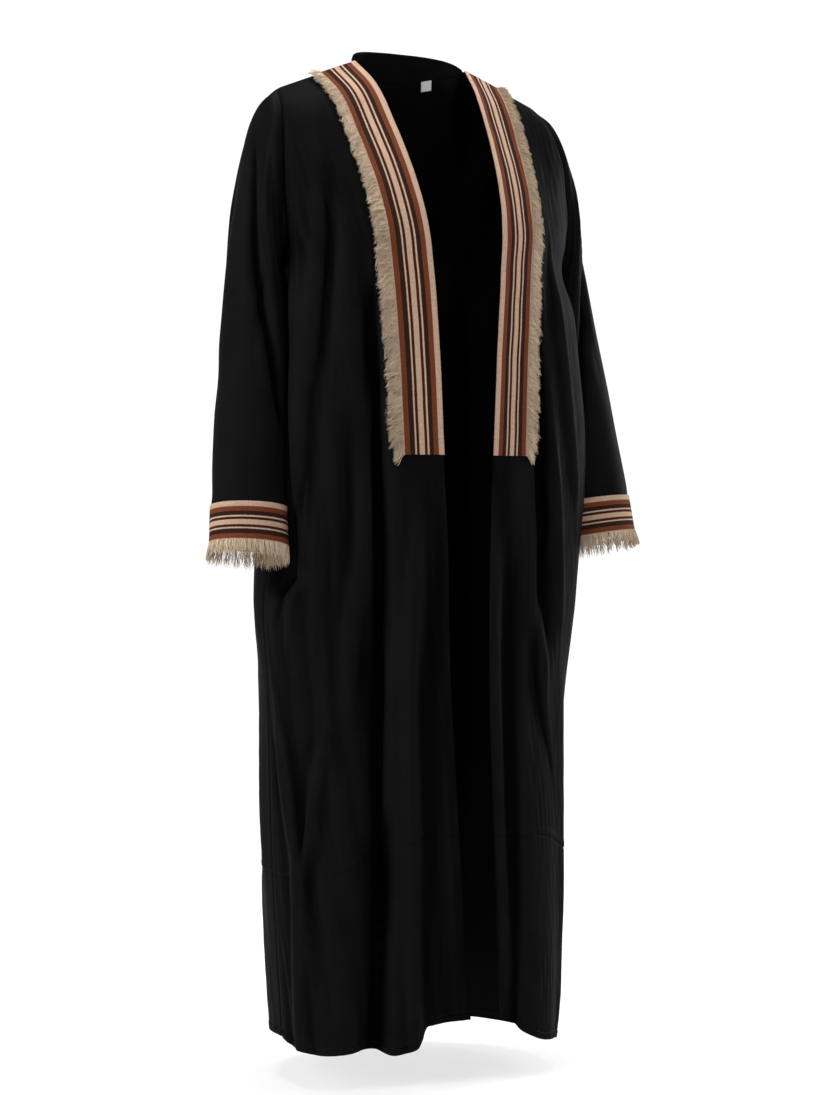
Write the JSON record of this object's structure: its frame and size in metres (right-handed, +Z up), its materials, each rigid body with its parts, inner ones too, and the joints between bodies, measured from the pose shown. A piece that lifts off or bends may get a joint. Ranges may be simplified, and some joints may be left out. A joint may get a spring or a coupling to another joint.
{
  "type": "abaya",
  "caption": "Full-length open-front abaya, hollow as worn: black crepe with long wide sleeves, striped woven braid and fringe down the front edges and round the cuffs.",
  "frame": {"origin": "between the shoulders, level with the points where the shoulder seams meet the neck: where the wearer holds the garment up", "axes": "+Z up along the wearer, +X to the wearer's left, +Y to the wearer's back, so -Y is the open front"},
  "size_m": [0.683, 0.3559, 1.4116],
  "materials": {
    "black_crepe": "matt black polyester crepe with a faint soft sheen",
    "striped_braid": "thick woven braid with cream, rust and dark brown stripes along it and fine ribs across",
    "cream_fringe": "loose matt cream yarn, cut uneven",
    "grey_label": "bare pale grey woven tab"
  },
  "bodies": {
    "root": {"front_left": "black_crepe", "front_right": "black_crepe", "back": "black_crepe", "hem_band_front_left": "black_crepe", "hem_band_front_right": "black_crepe", "hem_band_back": "black_crepe", "sleeve_left": "black_crepe", "sleeve_right": "black_crepe", "neckband_back": "black_crepe", "braid_front_left": "striped_braid", "braid_front_right": "striped_braid", "braid_cuff_left": "striped_braid", "braid_cuff_right": "striped_braid", "fringe_front_left": "cream_fringe", "fringe_front_right": "cream_fringe", "fringe_cuff_left": "cream_fringe", "fringe_cuff_right": "cream_fringe", "neck_label": "grey_label"}
  },
  "joints": []
}
